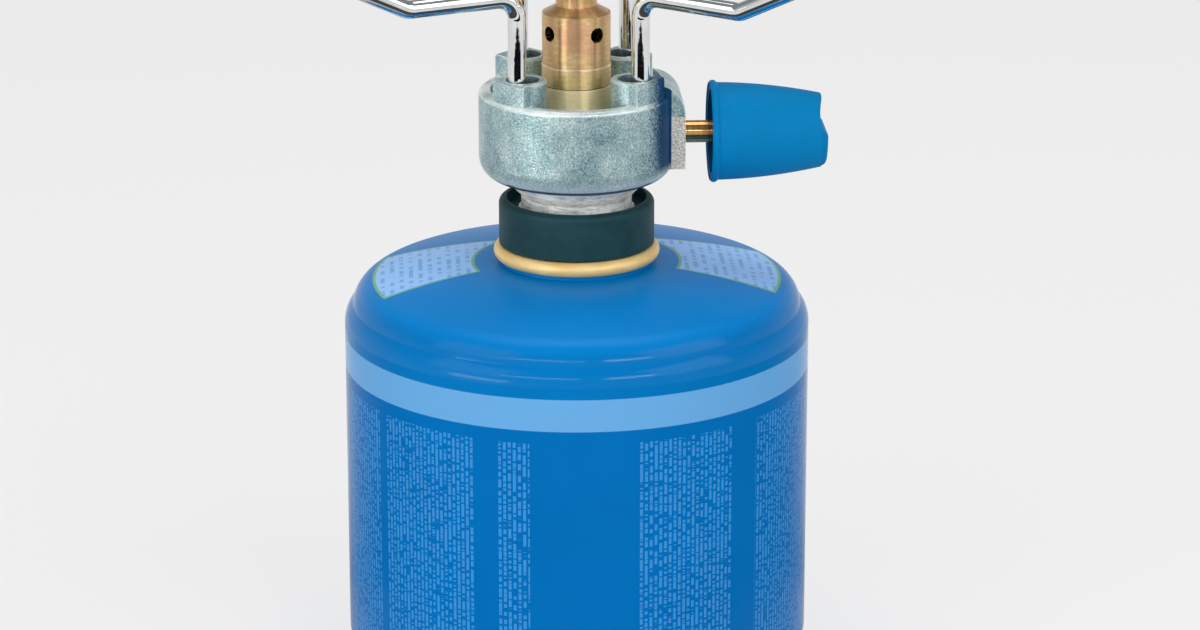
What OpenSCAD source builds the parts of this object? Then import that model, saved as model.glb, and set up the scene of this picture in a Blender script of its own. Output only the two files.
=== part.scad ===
/* [Cartridge] */
// Diameter of the cartridge's straight wall
can_d = 108; // [98:0.5:116]
// Height at which the straight wall ends and the shoulder begins
can_wall_h = 81.5; // [60:0.5:140]
// Thickness of the cartridge's sheet
can_sheet = 0.6; // [0.4:0.05:0.9]
// Radius of the shoulder below the crease
shoulder_r = 6; // [5:0.25:8]
// Radius of the shoulder above the crease
crown_edge_r = 6.9; // [5.5:0.1:8]
// How far the upper shoulder stands in from the straight wall
crown_step = 1.8; // [1.2:0.1:2.6]
// How far the upper shoulder's centre stands above the straight wall
crown_lift = 3.2; // [2:0.1:4.5]
// Radius of the crowned top, seen from the side
crown_r = 130; // [95:1:160]
// Distance from the axis to the centre of the crown's curve
crown_centre = 14.5; // [10:0.5:16]
// Width of the rolled seam round the base
seam_w = 2.6; // [2.2:0.1:3.4]
// Height of the rolled seam round the base
seam_h = 4; // [3:0.25:6]
// How far the wall is necked in above the seam
seam_neck = 1.4; // [1:0.1:2]
// Height of the necked-in slope above the seam
seam_slope_h = 2.2; // [1.5:0.1:4]
// Rise of the dished base
base_rise = 9; // [5:0.5:14]

/* [Valve cup] */
// Diameter of the bead, at the middle of its section
bead_d = 35; // [33:0.25:38]
// Thickness of the bead's round section
bead_section = 3.5; // [3.1:0.1:4]
// Gap between the crown and the bead's underside
bead_gap = 0.8; // [0.4:0.05:1.5]
// Thickness of the cup's sheet
cup_sheet = 0.45; // [0.3:0.05:0.6]
// Depth of the cup's floor below the bead's middle
cup_depth = 3; // [2:0.25:5]
// Section of the curl that the bead is rolled over
curl_d = 1.5; // [1.2:0.1:1.7]
// Outer diameter of the cup's pedestal
pedestal_d = 13; // [11.5:0.25:14]
// Height of the pedestal above the bead's crest
pedestal_h = 5; // [4.5:0.25:7]
// How far each bayonet tab stands out of the pedestal
tab_reach = 2; // [1.4:0.1:2.4]
// Thickness of a bayonet tab
tab_t = 1.2; // [0.8:0.1:1.6]
// Drop from the pedestal's top to the top of the tabs
tab_drop = 1; // [0.6:0.1:1.4]
// Angle that each bayonet tab and lug covers
tab_angle = 50; // [35:1:55]

/* [Cartridge valve] */
// Diameter of the valve stem
stem_d = 4; // [3:0.1:4.4]
// Diameter of the valve stem's head
stem_head_d = 6.8; // [6:0.1:7.4]
// Thickness of the valve stem's head
stem_head_t = 1.6; // [1:0.1:2.5]
// How far the fitted stove holds the valve open
valve_lift = 1.5; // [0.8:0.1:2]
// Thickness of the stem gasket
stem_gasket_t = 0.8; // [0.5:0.1:1.2]
// Bore of the valve housing
housing_bore = 8.2; // [8:0.1:9]
// Depth of the valve housing below the pedestal's top
housing_h = 16; // [14:0.5:20]
// Thickness of the valve housing's floor
housing_floor = 1.5; // [1:0.1:2.5]
// Wire of the valve spring
spring_wire = 0.7; // [0.5:0.05:0.9]
// Turns of the valve spring
spring_turns = 5; // [3:1:6]

/* [Connector] */
// Outer diameter of the plastic collar
collar_d = 36; // [34:0.25:40]
// Height of the collar
collar_h = 10.6; // [8:0.2:14]
// Rounding of the collar's top edge
collar_round = 1.5; // [1:0.1:1.7]
// Gap between the collar and the bead's crest
collar_gap = 0.4; // [0.3:0.1:1]
// Wall of the collar round its mouth
mouth_wall = 1.8; // [1.7:0.1:3]
// Depth of the collar's mouth
mouth_h = 2.4; // [1.5:0.1:4]
// Diameter of the neck inside the collar
neck_d = 26.8; // [26:0.2:28]
// Diameter of the neck's waist above the collar's bore
waist_d = 25.6; // [24:0.2:26]
// Diameter of the neck's cone where it meets the drum
neck_top_d = 33.5; // [29:0.25:34]
// Height of the neck's cone under the drum
cone_h = 4.25; // [2:0.25:4.5]
// Height of neck that shows above the collar
neck_show = 5; // [3.5:0.25:8]
// How far the neck's foot flange stands out under the collar
neck_flange = 1.2; // [0.8:0.1:1.3]
// Length of the spigot that screws into the drum
spigot_l = 4; // [3.5:0.25:5]
// Diameter of the spigot
spigot_d = 18; // [14:0.25:20]
// Diameter of the inlet probe
probe_d = 4.2; // [3.4:0.1:4.4]
// Bore of the inlet probe
probe_bore = 1.6; // [1:0.1:2]
// Section of the connector's O-ring
inlet_ring_d = 1.6; // [1.2:0.1:1.8]

/* [Drum] */
// Diameter of the drum
drum_d = 45; // [44:0.25:50]
// Height of the drum to its rim
drum_h = 20.6; // [19:0.2:26]
// Rounding of the drum's lower edge
drum_foot_r = 5; // [3:0.25:5.5]
// Rounding of the drum's rim
rim_round = 1.2; // [0.6:0.1:1.3]
// Width of the rim round the recessed floor
rim_w = 2.7; // [2.6:0.1:3.5]
// Depth of the recessed floor below the rim
recess_depth = 4; // [3:0.1:4.5]
// Height of the leg bosses above the rim
boss_h = 5.1; // [3:0.1:7]
// Diameter of a leg boss
boss_d = 11; // [10.4:0.1:12]
// Width of the outer flank of a leg boss
boss_flank_w = 10; // [8:0.1:10.2]
// How far the boss's outer face stands in from the drum's wall
boss_inset = 0.2; // [0.1:0.05:0.5]
// Chamfer of the boss's top edges
boss_chamfer = 0.4; // [0.2:0.05:0.6]
// Diameter of the pocket in a boss
pocket_d = 8; // [7.6:0.1:8.4]
// Depth of the pocket in a boss
pocket_depth = 3; // [2:0.1:4]

/* [Valve lug and spindle] */
// Height of the spindle's axis above the drum's lower face
spindle_h = 10; // [9.5:0.1:10.5]
// Diameter of the spindle
spindle_d = 5.2; // [4.6:0.1:5.4]
// Distance from the drum's axis to the lug's end face
lug_reach = 24.6; // [24:0.1:28]
// Width of the lug
lug_w = 16.4; // [13:0.2:17]
// Height of the lug's top above the rim
lug_rise = 2.4; // [1.5:0.1:4]
// Height of the lug's lower face above the drum's lower face
lug_drop = 3.2; // [2:0.1:4]
// Rounding of the lug's upper outer edge
lug_round = 7; // [4:0.25:8]
// Diameter of the gland nut
gland_d = 9; // [8:0.1:10]
// Length of the gland nut
gland_l = 7.5; // [5:0.25:8]
// Length of the spindle packing
packing_l = 2.5; // [1.5:0.1:3]
// Bore of the valve chamber
chamber_d = 5.8; // [5.7:0.05:6]
// Length of the needle's taper
needle_l = 3; // [2.5:0.1:4]
// Diameter of the needle behind its taper
needle_d = 3.6; // [3.2:0.1:4]
// Length of the needle's tail
needle_tail_l = 4; // [3:0.25:5]
// Travel of the needle from shut to fully open
needle_lift = 1.3; // [1.25:0.05:1.6]
// Diameter of the needle's point
needle_tip_d = 0.8; // [0.5:0.1:1.2]
// Section of the spindle's O-ring
spindle_ring_d = 1.1; // [0.8:0.05:1.3]

/* [Knob] */
// Gap between the lug and the knob
knob_gap = 6.4; // [4:0.1:9]
// Length of the knob
knob_l = 26.5; // [24:0.1:34]
// Diameter of the knob's open inner end
knob_inner_d = 22.6; // [20:0.2:25]
// Diameter of the knob's outer end
knob_outer_d = 16.6; // [15:0.2:19]
// How far the knob's side swells past a straight taper
knob_swell = 0.7; // [0.3:0.05:1.2]
// Wall of the knob
knob_wall = 1.6; // [1.2:0.1:2]
// Thickness of the knob's outer end
knob_end_t = 5; // [4:0.25:7]
// How far the lip round the open end stands out
lip_reach = 0.5; // [0.3:0.05:1]
// Rounding of the knob's outer edge
knob_edge_r = 1.2; // [0.8:0.1:2]
// Radius of the finger scoop in the knob's outer end
scoop_r = 7; // [6:0.25:9]
// Depth of the finger scoop
scoop_depth = 1.9; // [1:0.1:2.5]
// Distance of the scoop's middle from the knob's axis
scoop_offset = 5.2; // [4:0.1:6]
// Diameter of the hub inside the knob
hub_d = 9; // [8:0.1:10]
// Length of the hub inside the knob
hub_l = 16; // [12:0.5:18]
// Wire of the spring ring on the hub
knob_clip_d = 1; // [0.6:0.1:1.4]

/* [Burner] */
// Diameter of the brass base and mixing tube
burner_d = 16; // [15:0.2:18]
// Height of the base's joint line above the rim
joint_rise = 1.3; // [0.5:0.1:2.5]
// Chamfer of the two edges at the joint line
joint_chamfer = 0.2; // [0.1:0.05:0.4]
// Height of the turned band above the joint line
band_h = 4.6; // [3:0.1:6]
// How far the tube is turned down above the band
band_step = 0.15; // [0.1:0.05:0.4]
// Length of the mixing tube from the joint line to its shoulder
tube_l = 16.8; // [15:0.2:22]
// Height of the tube's sloping shoulder
tube_slope_h = 1.7; // [1:0.1:3]
// Outer diameter of the throat
throat_d = 9.4; // [8.6:0.1:10]
// Length of the throat above the shoulder
throat_l = 6.8; // [6.5:0.1:12]
// Wall of the mixing tube
tube_wall = 1.4; // [1:0.1:2]
// Diameter of the air holes
air_hole_d = 3.5; // [2.5:0.1:4.5]
// Height of the air holes above the joint line
air_hole_rise = 12.6; // [9:0.1:13]
// Number of air holes
air_holes = 4; // [2:1:6]
// Turn of the first air hole from the knob's side
air_hole_turn = 35; // [0:1:90]
// Length of the base's spigot in the drum
base_spigot_l = 2.4; // [1.5:0.1:2.6]
// Diameter of the burner head
head_d = 26; // [22:0.5:30]
// Height of the burner head's wall
head_h = 6; // [4.5:0.25:10]
// Wall of the burner head
head_wall = 1.2; // [0.8:0.1:1.6]
// Diameter of the flame ports
port_d = 1.8; // [1:0.1:2.4]
// Number of flame ports, an even number
ports = 20; // [12:2:24]
// Thickness of the burner cap
cap_t = 1.2; // [0.8:0.1:2]

/* [Pan supports] */
// Diameter of the wire
wire_d = 4.2; // [3.6:0.1:4.4]
// Distance from the drum's axis to each leg
leg_ring_r = 18.8; // [18.4:0.1:19]
// How far each leg stands outside the middle of its boss
leg_offset = 1.7; // [1.5:0.05:1.9]
// Angle of the front legs from the knob's axis
front_leg_angle = 42; // [40:0.5:48]
// Angle of the rear legs from the knob's axis
rear_leg_angle = 48; // [42:0.5:50]
// Height of the level run above the drum's rim
arm_rise = 24.5; // [20:0.5:34]
// Length of the level run, from the leg to the kink
arm_run = 27; // [16:0.5:36]
// Slope of the rising run
arm_slope = 26; // [15:1:40]
// Level distance that the rising run covers
slope_run = 34; // [20:0.5:44]
// Length of the level tip
tip_run = 5; // [3:0.5:12]
// Bend radius at the middle of the wire
bend_r = 5; // [3.5:0.25:7]
// How far the front left arm points forward of the knob's axis
front_left_turn = 24; // [5:1:85]
// How far the front right arm points forward of the knob's axis
front_right_turn = 39; // [5:1:85]
// How far the rear arms point back from the knob's axis
rear_turn = 43; // [5:1:85]

/* [Fits] */
// Clearance between pieces that are pressed, screwed or seated together
fit = 0.05; // [0.03:0.01:0.08]
// Clearance of the pieces that turn or slide in a bore
running_fit = 0.06; // [0.04:0.01:0.09]
// Clearance between pieces that only pass each other
pass_gap = 0.35; // [0.3:0.05:0.5]

/* [Hidden] */
$fn = 96;

// Overlap of shapes that are joined or cut
lap = 0.2;

// Cartridge outline
can_r = can_d / 2;
foot_r = can_r - seam_neck;
seam_floor = 1;
seam_in_r = foot_r - can_sheet / 2 - seam_w / 2;
seam_out_r = foot_r - can_sheet / 2 + seam_w / 2;
edge_x = can_r - crown_step - crown_edge_r;
edge_z = can_wall_h + crown_lift;
crown_reach = crown_r - crown_edge_r;
// How far the upper shoulder's curve stands proud of the crown's, so that the two cross cleanly
edge_proud = 0.02;
crown_z = edge_z - sqrt(pow(crown_reach, 2) - pow(edge_x - crown_centre, 2));
crown_top = crown_z + crown_r;
dish_z = seam_h / 2;
dish_r = (pow(seam_in_r, 2) + pow(base_rise, 2)) / (2 * base_rise);

// Valve cup
bead_r = bead_d / 2;
bead_s = bead_section / 2;
bead_z = crown_top + bead_gap + bead_s;
bead_crest = bead_z + bead_s;
curl_r = curl_d / 2;
cup_wall_r = bead_r - bead_s;
pan_z = bead_z - cup_depth;
pedestal_r = pedestal_d / 2;
pedestal_in_r = pedestal_r - cup_sheet;
pedestal_top = bead_crest + pedestal_h;
tab_top = pedestal_top - tab_drop;
tab_z = tab_top - tab_t;
tab_r = pedestal_r + tab_reach;
stem_hole_r = max(stem_d, probe_d) / 2 + pass_gap;

// Cartridge valve
gasket_z = pedestal_top - cup_sheet - stem_gasket_t;
housing_r = pedestal_in_r - fit;
housing_z = pedestal_top - housing_h;
stem_head_top = gasket_z - valve_lift;
stem_head_z = stem_head_top - stem_head_t;
stem_top = pedestal_top - cup_sheet;
stem_guide_r = stem_d / 2 - spring_wire;
stem_guide_l = 2;
spring_z = housing_z + housing_floor + fit + spring_wire / 2;
spring_top = stem_head_z - fit - spring_wire / 2;
spring_r = stem_d / 2 + spring_wire;

// Connector
collar_z = bead_crest + collar_gap;
collar_top = collar_z + collar_h;
collar_r = collar_d / 2;
mouth_r = collar_r - mouth_wall;
neck_r = neck_d / 2;
flange_r = neck_r + neck_flange;
neck_clear = 1.2;
neck_z = pan_z + cup_sheet + neck_clear;
flange_t = 1.6;
flange_top = collar_z + flange_t;
drum_z = collar_top + neck_show;
waist_z = collar_top - mouth_h;
cone_z = drum_z - cone_h;
cavity_r = tab_r + pass_gap;
cavity_top = pedestal_top + pass_gap;
lug_top = tab_z - pass_gap;
lug_t = 1.5;
probe_r = probe_d / 2;
probe_flange_w = 1.2;
probe_flange_r = probe_r + probe_flange_w;
probe_flange_t = 1.2;
filter_t = 1.2;
spigot_top = drum_z + spigot_l;
probe_seat = spigot_top - probe_flange_t - filter_t - 2 * fit;
ring_gap = 0.1;
ring_wall = 0.6;
inlet_ring_r = stem_hole_r + inlet_ring_d / 2 + ring_wall;

// Drum
drum_r = drum_d / 2;
rim_z = drum_z + drum_h;
rim_in_r = drum_r - rim_w;
floor_z = rim_z - recess_depth;
boss_top = rim_z + boss_h;
boss_face_r = drum_r - boss_inset;
boss_ring_r = leg_ring_r - leg_offset;
pocket_z = boss_top - pocket_depth;
plenum_t = 1;

// Needle valve
axis_z = drum_z + spindle_h;
spindle_r = spindle_d / 2;
chamber_r = chamber_d / 2;
seat_x = -4;
seat_l = 3;
seat_clear = 0.35;
seat_bore_r = needle_tip_d / 2 + seat_clear;
needle_x = seat_x + seat_l - needle_l / 2;
needle_back = needle_x + needle_l;
needle_r = needle_d / 2;
tail_step = 0.6;
tail_r = needle_r - tail_step;
spindle_x = needle_back + needle_lift + pass_gap;
gland_x = lug_reach - gland_l;
packing_x = gland_x - packing_l - fit;
ring_lead = 2.4;
ring_x = packing_x - ring_lead;
spindle_ring_r = chamber_r - spindle_ring_d / 2 - running_fit;
inlet_lead = 1.8;
inlet_x = seat_x - inlet_lead;
inlet_r = 1.1;

// Knob
knob_x = lug_reach + knob_gap;
knob_end_x = knob_x + knob_l;
hub_x = knob_end_x - knob_end_t - hub_l;
spindle_end = knob_end_x - knob_end_t;
knob_clip_lead = 2.5;
knob_clip_x = hub_x + knob_clip_lead;

// Side of the knob as an arc through its inner end, a swollen middle and its outer end
knob_fall = (knob_inner_d - knob_outer_d) / 2;
knob_chord = sqrt(pow(knob_l, 2) + pow(knob_fall, 2));
knob_arc_r = pow(knob_chord, 2) / (8 * knob_swell) + knob_swell / 2;
knob_arc_drop = knob_arc_r - knob_swell;
knob_arc_h = knob_l / 2 - knob_arc_drop * knob_fall / knob_chord;
knob_arc_y = (knob_inner_d + knob_outer_d) / 4 - knob_arc_drop * knob_l / knob_chord;

// Burner
burner_r = burner_d / 2;
joint_z = rim_z + joint_rise;
shoulder_z = joint_z + tube_l;
throat_r = throat_d / 2;
throat_z = shoulder_z + tube_slope_h;
throat_top = throat_z + throat_l;
tube_in_r = burner_r - band_step - tube_wall;
throat_wall = 1;
throat_in_r = throat_r - throat_wall;
base_spigot_r = 5.2;
base_bore_r = 3.8;
base_ring_h = 3;
jet_r = 2.4;
jet_hex_d = 6.4;
head_r = head_d / 2;
head_socket_l = 3.5;
head_floor_t = 1.2;
head_z = throat_top - head_floor_t;
head_top = head_z + head_h;

// Pan supports
leg_turns = [rear_leg_angle, 180 - rear_leg_angle, 180 + front_leg_angle, 360 - front_leg_angle];
wire_r = wire_d / 2;
leg_floor_t = 3.2;
leg_z = drum_z + leg_floor_t;
arm_z = rim_z + arm_rise;
clip_lift = 2.2;
clip_z = leg_z + clip_lift;
clip_t = 0.8;
clip_groove = 0.55;
bend_swell = 0.02;

module at_legs(radius) {
    for (turn = leg_turns) {
        rotate([0, 0, turn]) translate([radius, 0, 0]) rotate([0, 0, -turn]) children();
    }
}

module box_2d(x0, y0, x1, y1) {
    translate([x0, y0]) square([x1 - x0, y1 - y0]);
}

module ring(outer_r, inner_r, z0, z1) {
    rotate_extrude() box_2d(inner_r, z0, outer_r, z1);
}

// Shapes along the spindle: the local Z axis becomes the part's X axis at the spindle's height
module along_spindle(x) {
    translate([x, 0, axis_z]) rotate([0, 90, 0]) children();
}

// Half section of the cartridge, drawn inset for the inside of its sheet
module can_outline(inset, foot) {
    polygon([
        [0, foot], [foot_r - inset, foot], [foot_r - inset, seam_h + fit],
        [can_r - inset, seam_h + seam_slope_h], [can_r - inset, can_wall_h], [0, can_wall_h]
    ]);
    translate([can_r - shoulder_r, can_wall_h]) circle(r = shoulder_r - inset);
    translate([edge_x, edge_z]) circle(r = crown_edge_r + edge_proud - inset);
    intersection() {
        translate([crown_centre, crown_z]) circle(r = crown_r - inset, $fn = 360);
        polygon([
            [0, can_wall_h - lap], [edge_x + crown_edge_r - inset, can_wall_h - lap],
            [edge_x + crown_edge_r - inset, edge_z], [edge_x, edge_z],
            [crown_centre + 2 * (edge_x - crown_centre), crown_z + 2 * (edge_z - crown_z)],
            [0, crown_z + 2 * (edge_z - crown_z)]
        ]);
    }
}

module can_shell() {
    neck_in_r = bead_r - can_sheet;
    color("#0075BE") rotate_extrude() {
        difference() {
            can_outline(0, seam_floor + fit);
            can_outline(can_sheet, seam_floor - lap);
            box_2d(-lap, crown_top - crown_r, neck_in_r, crown_top + lap);
        }
        box_2d(neck_in_r, crown_top - can_sheet, bead_r, bead_z);
        translate([bead_r, bead_z]) circle(r = curl_r, $fn = 32);
    }
}

module can_base() {
    slot_in = foot_r - can_sheet - fit;
    color("#B9BDBF") rotate_extrude() {
        difference() {
            box_2d(seam_in_r, 0, seam_out_r, seam_h);
            box_2d(slot_in, seam_floor, foot_r + fit, seam_h + lap);
        }
        intersection() {
            translate([0, dish_z + base_rise - dish_r]) difference() {
                circle(r = dish_r, $fn = 360);
                circle(r = dish_r - can_sheet, $fn = 360);
            }
            box_2d(0, 0, seam_in_r + lap, dish_z + base_rise + lap);
        }
    }
}

module valve_cup() {
    color("#E2B870") {
        rotate_extrude() {
            translate([bead_r, bead_z]) difference() {
                circle(r = bead_s, $fn = 48);
                circle(r = bead_s - cup_sheet, $fn = 48);
                box_2d(-bead_s - lap, -bead_s - lap, fit, 0);
            }
            box_2d(cup_wall_r, pan_z, cup_wall_r + cup_sheet, bead_z);
            box_2d(pedestal_in_r, pan_z, cup_wall_r + cup_sheet, pan_z + cup_sheet);
            box_2d(pedestal_in_r, pan_z, pedestal_r, pedestal_top);
            box_2d(stem_hole_r, pedestal_top - cup_sheet, pedestal_r, pedestal_top);
        }
        for (turn = [0, 180]) {
            rotate([0, 0, turn - tab_angle / 2]) rotate_extrude(angle = tab_angle) {
                box_2d(pedestal_r - cup_sheet / 2, tab_z, tab_r, tab_top);
            }
        }
    }
}

module cup_gasket() {
    color("#3A3A3A") rotate_extrude() translate([bead_r, bead_z]) difference() {
        circle(r = bead_s - cup_sheet - fit, $fn = 48);
        circle(r = curl_r + fit, $fn = 32);
        box_2d(-bead_s, -bead_s, bead_s, curl_r / 2);
    }
}

module valve_housing() {
    color("#E8E6DE") rotate_extrude() difference() {
        box_2d(spring_wire, housing_z, housing_r, gasket_z - fit);
        box_2d(0, housing_z + housing_floor, housing_bore / 2, gasket_z);
    }
}

module stem_gasket() {
    color("#2B2B2B") ring(housing_r, stem_d / 2 + pass_gap, gasket_z, gasket_z + stem_gasket_t - fit);
}

// Points of a six-sided ring round the spring's helix, at a share of its length
function spring_ring(share) =
    let (turn = 360 * spring_turns * share, z = spring_z + (spring_top - spring_z) * share)
    [for (side = [0:60:300])
        let (out = spring_r + spring_wire / 2 * cos(side))
        [out * cos(turn), out * sin(turn), z + spring_wire / 2 * sin(side)]];

module valve_spring() {
    rings = spring_turns * 12;
    sides = 6;
    points = [for (i = [0:rings]) each spring_ring(i / rings)];
    walls = [for (i = [0:rings - 1], j = [0:sides - 1])
        let (a = i * sides + j, b = i * sides + (j + 1) % sides)
        each [[a, b, a + sides], [b, b + sides, a + sides]]];
    first_cap = [for (j = [1:sides - 2]) [0, j + 1, j]];
    last = rings * sides;
    last_cap = [for (j = [1:sides - 2]) [last, last + j, last + j + 1]];
    echo(least_spring_gap = (spring_top - spring_z) / spring_turns - spring_wire);
    color("#C9CCCD") polyhedron(points, concat(walls, first_cap, last_cap), convexity = 10);
}

module valve_stem() {
    color("#D8D4C4") {
        translate([0, 0, stem_head_z]) cylinder(d = stem_head_d, h = stem_head_t);
        translate([0, 0, stem_head_z]) cylinder(d = stem_d, h = stem_top - stem_head_z);
        translate([0, 0, stem_head_z - stem_guide_l]) cylinder(r = stem_guide_r, h = stem_guide_l + lap);
    }
}

module connector_collar() {
    bore_r = neck_r + fit;
    step_r = flange_r + fit;
    color("#2A4A50") rotate_extrude() difference() {
        union() {
            box_2d(bore_r, collar_z, collar_r, collar_top - collar_round);
            box_2d(bore_r, collar_z, collar_r - collar_round, collar_top);
            translate([collar_r - collar_round, collar_top - collar_round]) circle(r = collar_round, $fn = 48);
        }
        box_2d(0, collar_z - lap, step_r, flange_top + fit);
        box_2d(0, collar_z - lap, bore_r, collar_top + lap);
        box_2d(0, waist_z, mouth_r, collar_top + lap);
    }
}

module connector_neck() {
    color("#C9C9C5") {
        rotate_extrude() difference() {
            union() {
                box_2d(0, neck_z, flange_r, flange_top);
                box_2d(0, neck_z, neck_r, waist_z);
                box_2d(0, waist_z - lap, waist_d / 2, cone_z + lap);
                polygon([[0, cone_z], [waist_d / 2, cone_z], [neck_top_d / 2, drum_z - fit], [0, drum_z - fit]]);
                box_2d(0, drum_z - lap, spigot_d / 2, spigot_top);
            }
            box_2d(0, neck_z - lap, cavity_r, cavity_top);
            box_2d(inlet_ring_r - inlet_ring_d / 2 - fit, cavity_top - lap,
                inlet_ring_r + inlet_ring_d / 2 + fit, pedestal_top + ring_gap + inlet_ring_d + fit);
            box_2d(0, cavity_top - lap, probe_r + fit, spigot_top + lap);
            box_2d(0, probe_seat, probe_flange_r + fit, spigot_top + lap);
        }
        for (turn = [0, 180]) {
            rotate([0, 0, turn - tab_angle / 2]) rotate_extrude(angle = tab_angle) {
                box_2d(pedestal_r + pass_gap, lug_top - lug_t, cavity_r + lap, lug_top);
            }
        }
    }
}

module connector_o_ring() {
    color("#222222") rotate_extrude() {
        translate([inlet_ring_r, pedestal_top + ring_gap + inlet_ring_d / 2]) circle(d = inlet_ring_d, $fn = 32);
    }
}

module inlet_probe() {
    color("#C8A860") difference() {
        union() {
            translate([0, 0, stem_top + ring_gap]) cylinder(r = probe_r, h = probe_seat - stem_top);
            translate([0, 0, probe_seat + fit]) cylinder(r = probe_flange_r, h = probe_flange_t);
        }
        translate([0, 0, stem_top - lap]) cylinder(d = probe_bore, h = spigot_top - stem_top);
    }
}

module inlet_filter() {
    color("#A88C50") translate([0, 0, spigot_top - filter_t]) cylinder(r = probe_flange_r, h = filter_t);
}

// Wall of the drum, with its rounded foot and rim
module drum_wall() {
    rotate_extrude() {
        box_2d(0, drum_z, drum_r - drum_foot_r, rim_z);
        box_2d(0, drum_z + drum_foot_r, drum_r, rim_z - rim_round);
        box_2d(0, rim_z - rim_round - lap, drum_r - rim_round, rim_z);
        translate([drum_r - drum_foot_r, drum_z + drum_foot_r]) circle(r = drum_foot_r);
        translate([drum_r - rim_round, rim_z - rim_round]) circle(r = rim_round, $fn = 48);
    }
}

// Round boss with a flank that reaches the drum's wall
module leg_bosses() {
    rise = boss_top - floor_z + lap;
    intersection() {
        for (turn = leg_turns) {
            rotate([0, 0, turn]) translate([boss_ring_r, 0, floor_z - lap]) {
                cylinder(d = boss_d, h = rise - boss_chamfer);
                cylinder(d = boss_d - 2 * boss_chamfer, h = rise);
                translate([0, -boss_flank_w / 2, 0]) cube([boss_d, boss_flank_w, rise]);
            }
        }
        rotate_extrude() polygon([
            [0, floor_z - 2 * lap], [boss_face_r, floor_z - 2 * lap], [boss_face_r, boss_top - boss_chamfer],
            [boss_face_r - boss_chamfer, boss_top], [0, boss_top]
        ]);
    }
}

// Pad that the spindle comes out of, with a rounded upper edge
module valve_lug() {
    root_x = drum_r - drum_foot_r - rim_w;
    low = drum_z + lug_drop;
    high = rim_z + lug_rise;
    rotate([90, 0, 0]) translate([0, 0, -lug_w / 2]) linear_extrude(lug_w) {
        box_2d(root_x, low, lug_reach, high - lug_round);
        box_2d(root_x, low, lug_reach - lug_round, high);
        translate([lug_reach - lug_round, high - lug_round]) circle(r = lug_round);
    }
}

module leg_bores() {
    at_legs(leg_ring_r) {
        translate([0, 0, leg_z - fit]) cylinder(r = wire_r + running_fit, h = boss_top);
        translate([0, 0, clip_z - fit]) cylinder(r = wire_r + clip_groove, h = clip_t + 2 * fit);
    }
    at_legs(boss_ring_r) translate([0, 0, pocket_z]) cylinder(d = pocket_d, h = pocket_depth + lap);
}

module gas_ways() {
    translate([0, 0, drum_z - lap]) cylinder(d = spigot_d + 2 * fit, h = spigot_l + plenum_t + lap);
    translate([inlet_x, 0, spigot_top]) cylinder(r = inlet_r, h = axis_z - spigot_top);
    along_spindle(inlet_x) cylinder(r = inlet_r, h = seat_x - inlet_x + lap);
    along_spindle(seat_x) cylinder(r = chamber_r, h = lug_reach - seat_x);
    along_spindle(packing_x) cylinder(d = gland_d + 2 * fit, h = lug_reach);
    translate([0, 0, axis_z]) cylinder(r = jet_r + fit, h = floor_z - axis_z);
    translate([0, 0, floor_z - base_spigot_l - fit]) {
        cylinder(r = base_spigot_r + fit, h = base_spigot_l + fit + lap);
    }
}

module drum_body() {
    color("#9DB8BC") difference() {
        union() {
            difference() {
                union() {
                    drum_wall();
                    valve_lug();
                }
                translate([0, 0, floor_z]) cylinder(r = rim_in_r, h = boss_top);
            }
            leg_bosses();
        }
        leg_bores();
        gas_ways();
    }
}

module valve_seat() {
    color("#C8A860") along_spindle(seat_x + fit) difference() {
        cylinder(r = chamber_r - fit, h = seat_l);
        translate([0, 0, -lap]) cylinder(r = seat_bore_r, h = seat_l + 2 * lap);
        translate([0, 0, needle_x - seat_x]) {
            cylinder(r1 = needle_tip_d / 2, r2 = needle_r, h = needle_l);
        }
    }
}

module spindle_packing() {
    color("#EDEDE6") along_spindle(packing_x + fit) difference() {
        cylinder(d = gland_d, h = packing_l - fit);
        translate([0, 0, -lap]) cylinder(r = spindle_r + running_fit, h = packing_l + 2 * lap);
    }
}

module gland_nut() {
    color("#C8A860") along_spindle(gland_x) difference() {
        cylinder(d = gland_d, h = gland_l);
        translate([0, 0, -lap]) cylinder(r = spindle_r + running_fit, h = gland_l + 2 * lap);
    }
}

module spindle_o_ring() {
    color("#222222") along_spindle(ring_x) rotate_extrude() {
        translate([spindle_ring_r, 0]) circle(d = spindle_ring_d, $fn = 32);
    }
}

// Plastic needle that the turning spindle draws off its seat
module valve_needle() {
    color("#E8E6DE") along_spindle(needle_x + 2 * running_fit) {
        cylinder(r1 = needle_tip_d / 2, r2 = needle_r, h = needle_l);
        translate([0, 0, needle_l - lap]) cylinder(r = tail_r, h = needle_tail_l + lap);
    }
}

module valve_spindle() {
    groove_r = spindle_ring_r - spindle_ring_d / 2 - running_fit;
    groove_w = spindle_ring_d + 2 * pass_gap;
    color("#B98F58") difference() {
        along_spindle(spindle_x) cylinder(r = spindle_r, h = spindle_end - spindle_x - fit);
        along_spindle(spindle_x - lap) cylinder(r = tail_r + running_fit, h = needle_tail_l + pass_gap + lap);
        along_spindle(ring_x - groove_w / 2) difference() {
            cylinder(r = spindle_r + lap, h = groove_w);
            cylinder(r = groove_r, h = groove_w);
        }
    }
}

// Half section of the knob's outside: axis upright, open end at zero
module knob_side(inset) {
    intersection() {
        translate([knob_arc_y, knob_arc_h]) circle(r = knob_arc_r - inset, $fn = 360);
        box_2d(0, 0, knob_inner_d, knob_l);
    }
}

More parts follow.
